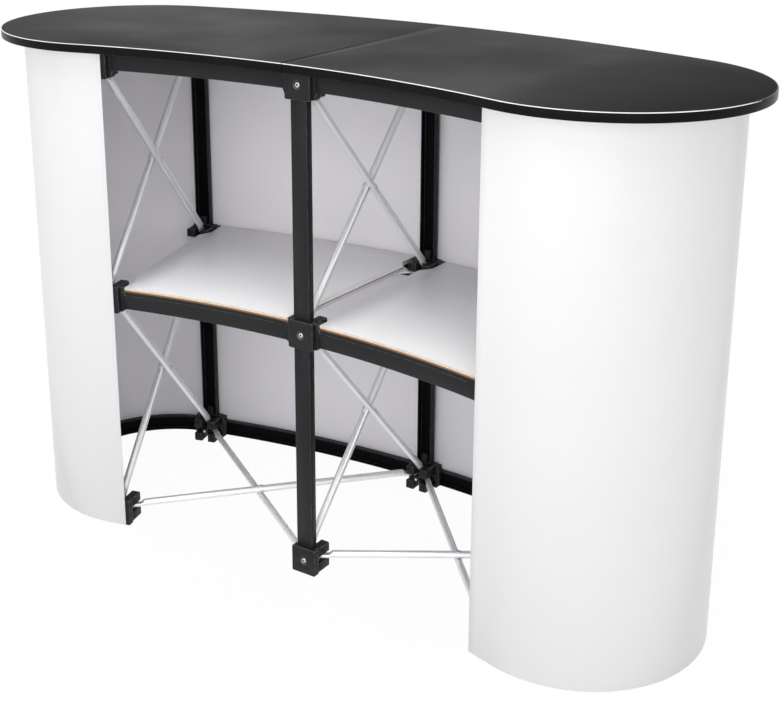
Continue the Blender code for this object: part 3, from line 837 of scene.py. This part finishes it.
# End bows
# The same bar bent round inside each rounded end of the skirt at the floor, from the outer
# near hub to the outer far hub, with the same brackets.
skirt_end_angle = math.radians(15.25)
end_steps = 60


def end_stations(inner_radius, outer_radius, end_angle, hand, start=0.0, finish=math.pi):
    """Points round one rounded end, by turns from its near side to its far side."""
    middle = arc_point((inner_radius + outer_radius) / 2, hand * end_angle)
    radial = arc_point(1.0, hand * end_angle)
    tangent = hand * Vector((radial.y, -radial.x, 0.0))
    stations = []
    for i in range(end_steps + 1):
        turn = start + (finish - start) * i / end_steps
        out = tangent * math.sin(turn) - radial * math.cos(turn)
        stations.append((middle + (outer_radius - inner_radius) / 2 * out, out))
    return stations


def rounded_end(inner_radius, outer_radius, end_angle, hand, near_start, far_start, near_steps, far_steps):
    """A path along the near arc, round one end, and along the far arc."""
    return (arc_stations(inner_radius, hand * near_start, hand * end_angle, near_steps, -1.0)
            + end_stations(inner_radius, outer_radius, end_angle, hand)[1:-1]
            + arc_stations(outer_radius, hand * end_angle, hand * far_start, far_steps, 1.0))


def bow_meshes(hand):
    starts = []
    for radius in (near_radius, far_radius):
        past_end = column_angle + bracket_turn(radius) - skirt_end_angle
        starts.append(past_end * radius / (frame_depth / 2))
    path = end_stations(near_radius, far_radius, skirt_end_angle, hand, starts[0], math.pi - starts[1])
    brackets = []
    for side, way in (("near", hand), ("far", -hand)):
        for shape in rail_bracket(band_setback, way):
            brackets.append(moved(shape, hub_axes(side, hand * column_angle)))
    return bar_and_ends(path, rail_section(band_setback), brackets)


for end, hand in (("left", -1.0), ("right", 1.0)):
    bow, bow_brackets = bow_meshes(hand)
    place = bay_axes(None, levels["bottom"])
    fitted("bow_" + end, bow, rail_extrusion, node="end_bow_" + end, place=place)
    fitted("bow_brackets_" + end, bow_brackets, hub_nylon, place=place)

# Skirt
# One sheet of white laminated plastic, satin outside and plain inside, rolled round both
# ends and hung on the outer faces of the hubs and bars. Its inside face is painted a lighter,
# lavender-tinted white than its outside, as painted light. Its cut edges are eased.
skirt_low, skirt_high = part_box("skirt_panel")
skirt_clearance = 0.0014
skirt_thickness = 0.0015
skirt_edge_insets = {"left": 0.017, "right": 0.034}
skirt_edge = 0.0004
skirt_steps = 48
skirt_edge_steps = 3
INNER_FACE = 3

skirt_white = surface("skirt_white", ((0.715, 0.715, 0.722), (0.730, 0.730, 0.737)), (0.30, 0.38),
                      grain=650.0, relief=0.00002, cloud=3.0, specular=0.45)
# The inside face is given a lighter, lavender-tinted white than the outside: painted light for the shaded
# inside.
skirt_inside_painted_light = surface("skirt_inside_painted_light", ((0.895, 0.875, 0.915), (0.91, 0.893, 0.93)), (0.55, 0.66),
                        grain=900.0, relief=0.00004, cloud=4.0, specular=0.3)


def skirt_sheet():
    halves = []
    for end, hand in (("left", -1.0), ("right", 1.0)):
        start = column_angle - skirt_edge_insets[end] / near_radius
        halves.append(rounded_end(near_radius, far_radius, skirt_end_angle, hand, start, 0.0,
                                  skirt_edge_steps, skirt_steps))
    path = halves[0] + halves[1][-2::-1]
    inner = skirt_clearance
    outer = skirt_clearance + skirt_thickness
    section = [(inner, skirt_low.z), (outer, skirt_low.z), (outer, skirt_high.z), (inner, skirt_high.z)]
    sheet = swept(path, section)
    split_finish(sheet, skirt_white, skirt_inside_painted_light,
                 lambda face: face.index >= 2 and (face.index - 2) % len(section) == INNER_FACE)
    return worked(sheet, edge=skirt_edge)


fitted("skirt", skirt_sheet(), skirt_white, node="skirt_panel", place=bay_axes(None, 0.0))

# Shelves
# Thin plywood faced with white laminate on both sides, cut to the bay's curve and notched
# round the hubs. A brown ply shows along the long edges, and a red one along the sides.
shelf_low, shelf_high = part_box("shelf_left")
shelf_thickness = shelf_high.z - shelf_low.z
shelf_near_setback = 0.0095
shelf_far_setback = 0.0045
shelf_corner_gap = 0.0018
shelf_near_side_gap = 0.024
shelf_far_side_gap = 0.017
shelf_notch_length = 0.050
shelf_notch_slope = 0.024
shelf_edge = 0.0004
shelf_steps = 24
long_edge_share = 0.9

shelf_white = surface("shelf_white", ((0.90, 0.893, 0.905), (0.92, 0.913, 0.925)), (0.34, 0.46),
                      grain=1100.0, relief=0.00002, cloud=6.0, dusty=0.03)


def cut_edge(name, tones, low_share, high_share, line_colour):
    """Cut edge of the board with short grain, and a coloured line between two shares of its height."""
    material = surface(name, tones, (0.55, 0.70),
                       grain=900.0, relief=0.00004, cloud=150.0, lines=(45.0, 45.0, 1400.0), line_share=0.6)
    tree = material.node_tree
    shader = tree.nodes["Principled BSDF"]
    wood = shader.inputs["Base Color"].links[0].from_socket
    parts = tree.nodes.new("ShaderNodeSeparateXYZ")
    tree.links.new(piece_place(tree), parts.inputs["Vector"])
    line = tree.nodes.new("ShaderNodeMath")
    line.operation = "COMPARE"
    line.inputs[1].default_value = (low_share + high_share) / 2 * shelf_thickness
    line.inputs[2].default_value = (high_share - low_share) / 2 * shelf_thickness
    tree.links.new(parts.outputs["Z"], line.inputs[0])
    lined = blended(tree, line.outputs["Value"], wood, line_colour)
    tree.links.new(lined, shader.inputs["Base Color"])
    return material


def shelf_board():
    half = column_angle / 2
    corner = hub_width / 2 + fit_gap + shoulder_length + shelf_corner_gap
    near = near_radius + shelf_near_setback
    far = far_radius - shelf_far_setback
    notch = near_radius + shelf_notch_length
    far_notch = far_radius - shelf_notch_length
    side = [(near, corner), (notch, corner), (notch + shelf_notch_slope, shelf_near_side_gap),
            (far_notch - shelf_notch_slope, shelf_far_side_gap), (far_notch, corner), (far, corner)]
    left = [arc_point(radius, -half, along) for radius, along in side]
    right = [Vector((-point.x, point.y, 0.0)) for point in reversed(left)]
    far_reach = half - corner / far
    near_reach = half - corner / near
    far_edge = arc_stations(far, -far_reach, far_reach, shelf_steps, 1.0)[1:-1]
    near_edge = arc_stations(near, near_reach, -near_reach, shelf_steps, -1.0)[1:-1]
    outline = left + [spot for spot, _ in far_edge] + right + [spot for spot, _ in near_edge]
    board = extruded([(point.x, point.y) for point in outline], ABOUT_Z, 0.0, shelf_thickness)
    board.materials.append(shelf_white)
    board.materials.append(cut_edge("long_ply_edge", ((0.58, 0.46, 0.34), (0.72, 0.60, 0.46)), 0.0, 0.42,
                                    (0.24, 0.135, 0.075)))
    board.materials.append(cut_edge("side_ply_edge", ((0.74, 0.72, 0.73), (0.82, 0.80, 0.81)), 0.78, 1.01,
                                    (0.24, 0.040, 0.050)))
    for face in board.polygons:
        if abs(face.normal.z) < facing_share:
            face.material_index = 1 if abs(face.normal.y) > long_edge_share else 2
    return worked(board, edge=shelf_edge)


board = shelf_board()
for bay in bays:
    fitted("shelf_board_" + bay, board, shelf_white, body=bay + "_shelf",
           node="shelf_" + bay, place=bay_axes(bay, shelf_low.z))

# Top
# Two boards faced with charcoal laminate meet at one seam over the middle hubs. Black
# plastic edging is pressed round each, with a pale highlight painted on its top arris along the staff side.
# The underside has a plain white balancing sheet.
top_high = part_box("tabletop_left")[1].z
top_thickness = 0.015
underside = top_high - top_thickness
near_overhang = 0.0379
far_overhang = 0.0319
top_near_radius = near_radius - near_overhang
top_far_radius = far_radius + skirt_clearance + skirt_thickness + far_overhang
top_end_angle = math.radians(15.45)
seam_width = 0.0010
edging_thickness = 0.0020
edging_round = 0.0011
board_edge = 0.0002
top_steps = 48
edging_steps = 4
painted_highlight_facing = -0.12

top_laminate = surface("top_laminate", ((0.0145, 0.0145, 0.0152), (0.0158, 0.0158, 0.0165)), (0.50, 0.58),
                       grain=1500.0, relief=0.00001, specular=0.025, cloud=5.0)
underside_white = surface("underside_white", ((0.86, 0.86, 0.86), (0.89, 0.89, 0.89)), (0.50, 0.60),
                          grain=900.0, relief=0.00002, specular=0.3, cloud=5.0)
edging_black = surface("edging_black", ((0.005, 0.005, 0.006), (0.007, 0.007, 0.008)), (0.24, 0.34),
                       grain=900.0, relief=0.00001, specular=0.06, cloud=20.0)
# A pale finish on the rounded top arris of the edging, on the faces toward the staff side: a painted
# highlight.
edging_painted_highlight = surface("edging_painted_highlight", ((0.80, 0.80, 0.81), (0.90, 0.90, 0.91)), (0.16, 0.24),
                       grain=1200.0, relief=0.00001, cloud=35.0)


def top_path(hand, inset):
    near = top_near_radius + inset
    far = top_far_radius - inset
    return rounded_end(near, far, top_end_angle, hand, math.asin(seam_width / 2 / near),
                       math.asin(seam_width / 2 / far), top_steps, top_steps)


def edging_section():
    """From the board's lower edge, round the lower and the upper arris, to the upper edge."""
    quarter = [math.radians(90.0) * i / edging_steps for i in range(edging_steps + 1)]
    section = [(-edging_thickness, 0.0)]
    for turn in quarter:
        section.append(((math.sin(turn) - 1.0) * edging_round, (1.0 - math.cos(turn)) * edging_round))
    for turn in quarter:
        section.append(((math.cos(turn) - 1.0) * edging_round,
                        top_thickness - (1.0 - math.sin(turn)) * edging_round))
    section.append((-edging_thickness, top_thickness))
    return section


def edging(hand):
    """The edging of one half, with a highlight painted pale on the rounded top arris along the staff side.
    """
    section = edging_section()
    strip = swept(top_path(hand, 0.0), section)
    arris = range(edging_steps + 2, len(section) - 1)
    split_finish(strip, edging_black, edging_painted_highlight,
                 lambda face: face.index >= 2 and (face.index - 2) % len(section) in arris
                 and face.normal.y < painted_highlight_facing)
    return worked(strip)


# Fittings of the top
# Under each half two nylon lugs drop into the outer hubs' free slots. Concealed barrel hinges
# of brass are let into the seam faces.
lug_start = 0.018
lug_depth = 0.022
lug_drop = 0.013
barrel_radius = 0.0050
barrel_length = 0.020
barrel_shares = (0.22, 0.78)
barrel_edge = 0.0004
barrel_recess = 0.0004
barrel_segments = 28

hinge_brass = surface("hinge_brass", ((0.55, 0.42, 0.20), (0.70, 0.56, 0.30)), (0.25, 0.40),
                      grain=900.0, relief=0.00001, metallic=1.0, cloud=200.0)


def barrel(hand, share, radius, start, length):
    shape = turned([(radius, hand * start), (radius, hand * (start + length))], ABOUT_X, barrel_segments)
    place = top_near_radius + (top_far_radius - top_near_radius) * share
    return moved(shape, Matrix.Translation((0.0, place, top_thickness / 2)))


def lugs(hand):
    half = slot_width / 2 - fit_gap
    blocks = []
    for side in ("near", "far"):
        block = extruded([(-half, lug_start), (half, lug_start), (half, lug_start + lug_depth),
                          (-half, lug_start + lug_depth)], ABOUT_Z, -lug_drop, 0.0)
        blocks.append(moved(block, hub_axes(side, hand * column_angle)))
    return worked(joined(blocks), edge=plug_edge)


for half_name, hand in (("left", -1.0), ("right", 1.0)):
    body = "top_" + half_name
    place = bay_axes(None, underside)
    outline = [spot for spot, _ in top_path(hand, edging_thickness)]
    bores = [barrel(hand, share, barrel_radius + fit_gap, -overrun, overrun + barrel_length + seam_width)
             for share in barrel_shares]
    panel = extruded([(spot.x, spot.y) for spot in outline], ABOUT_Z, 0.0, top_thickness)
    split_finish(panel, top_laminate, underside_white, lambda face: face.normal.z < -facing_share)
    fitted("top_board_" + half_name, worked(panel, bores, edge=board_edge), top_laminate,
           body=body, node="tabletop_" + half_name, place=place)
    fitted("top_edging_" + half_name, edging(hand), edging_black, body=body, place=place)
    fitted("top_lugs_" + half_name, lugs(hand), hub_nylon, body=body, place=place)
    barrels = [barrel(hand, share, barrel_radius, seam_width / 2 + barrel_recess, barrel_length)
               for share in barrel_shares]
    fitted("hinge_barrels_" + half_name, worked(joined(barrels), edge=barrel_edge), hinge_brass,
           body=body, place=place)

# Studio
# A pale floor that keeps the counter's shadow, an even white surround, a wide soft lamp in
# front of the open side, a smaller one overhead, and a weak one behind for the public side.
floor_half = 14.0
floor_drop = 0.0002
floor_glow = 0.96
shadow_reach = 1.0
surround_glow = 0.76
counter_middle = Vector((0.0, 0.0, 0.5))
lamps = {"lamp_front": ((1.7, -4.3, 1.9), (7.5, 3.4), 113.0),
         "lamp_overhead": ((0.2, -1.6, 3.8), (3.4, 2.4), 36.0),
         "lamp_behind": ((-1.8, 4.6, 2.2), (6.0, 3.0), 40.0)}


def seen_share(tree):
    """One for what is seen straight, mirrored or through glass, zero for light on the counter."""
    seen = tree.nodes.new("ShaderNodeLightPath")
    share = seen.outputs["Is Camera Ray"]
    for ray in ("Is Glossy Ray", "Is Transmission Ray"):
        either = tree.nodes.new("ShaderNodeMath")
        either.operation = "MAXIMUM"
        tree.links.new(share, either.inputs[0])
        tree.links.new(seen.outputs[ray], either.inputs[1])
        share = either.outputs["Value"]
    return share


def studio_floor():
    material = bpy.data.materials.new("studio_floor")
    material.use_nodes = True
    tree = material.node_tree
    shader = tree.nodes["Principled BSDF"]
    shader.inputs["Base Color"].default_value = (0.90, 0.90, 0.905, 1.0)
    shader.inputs["Roughness"].default_value = 0.85
    shader.inputs["Specular IOR Level"].default_value = 0.0
    white = tree.nodes.new("ShaderNodeEmission")
    white.inputs["Strength"].default_value = 1.0
    away = tree.nodes.new("ShaderNodeVectorMath")
    away.operation = "LENGTH"
    tree.links.new(piece_place(tree), away.inputs[0])
    glow = spread(tree, away.outputs["Value"], floor_glow, 1.0, shadow_reach, 2 * shadow_reach)
    both = tree.nodes.new("ShaderNodeMixShader")
    tree.links.new(times(tree, seen_share(tree), glow), both.inputs[0])
    tree.links.new(shader.outputs["BSDF"], both.inputs[1])
    tree.links.new(white.outputs["Emission"], both.inputs[2])
    tree.links.new(both.outputs["Shader"], tree.nodes["Material Output"].inputs["Surface"])
    return material


floor_mesh = bpy.data.meshes.new("studio_floor")
floor_mesh.from_pydata([(-floor_half, -floor_half, -floor_drop), (floor_half, -floor_half, -floor_drop),
                        (floor_half, floor_half, -floor_drop), (-floor_half, floor_half, -floor_drop)],
                       [], [(0, 1, 2, 3)])
floor_mesh.materials.append(studio_floor())
studio = bpy.data.objects.new("studio_floor", floor_mesh)
bpy.context.scene.collection.objects.link(studio)

world = bpy.data.worlds.new("studio")
world.use_nodes = True
surround = world.node_tree.nodes["Background"]
surround.inputs["Color"].default_value = (1.0, 1.0, 1.0, 1.0)
dimmed = world.node_tree.nodes.new("ShaderNodeMapRange")
dimmed.inputs["To Min"].default_value = surround_glow
dimmed.inputs["To Max"].default_value = 1.0
world.node_tree.links.new(seen_share(world.node_tree), dimmed.inputs["Value"])
world.node_tree.links.new(dimmed.outputs["Result"], surround.inputs["Strength"])
bpy.context.scene.world = world


def lamp(name, spot, size, power):
    """A soft rectangular lamp that points at the middle of the counter."""
    light = bpy.data.lights.new(name, "AREA")
    light.shape = "RECTANGLE"
    light.size, light.size_y = size
    light.energy = power
    source = bpy.data.objects.new(name, light)
    bpy.context.scene.collection.objects.link(source)
    source.location = spot
    source.rotation_euler = (counter_middle - Vector(spot)).to_track_quat("-Z", "Y").to_euler()


for name, (spot, size, power) in lamps.items():
    lamp(name, spot, size, power)

# Camera
# It stands in front of the right end and above the top, and looks down along the counter,
# with a lens shift that keeps the uprights nearly parallel.
camera_place = (1.3161, -1.9146, 1.3032)
camera_angles = (72.943, -0.327, 33.263)
photo_width = 781.0
focal_pixels = 1384.0
view_centre_drop = 128.0
camera_data = bpy.data.cameras.new("camera")
camera_data.sensor_width = 36.0
camera_data.lens = focal_pixels / photo_width * camera_data.sensor_width
camera_data.shift_y = -view_centre_drop / photo_width
camera_data.clip_end = 60.0
camera = bpy.data.objects.new("camera", camera_data)
bpy.context.scene.collection.objects.link(camera)
camera.location = camera_place
camera.rotation_euler = [math.radians(angle) for angle in camera_angles]
bpy.context.scene.camera = camera
bpy.context.scene.view_settings.view_transform = "Standard"
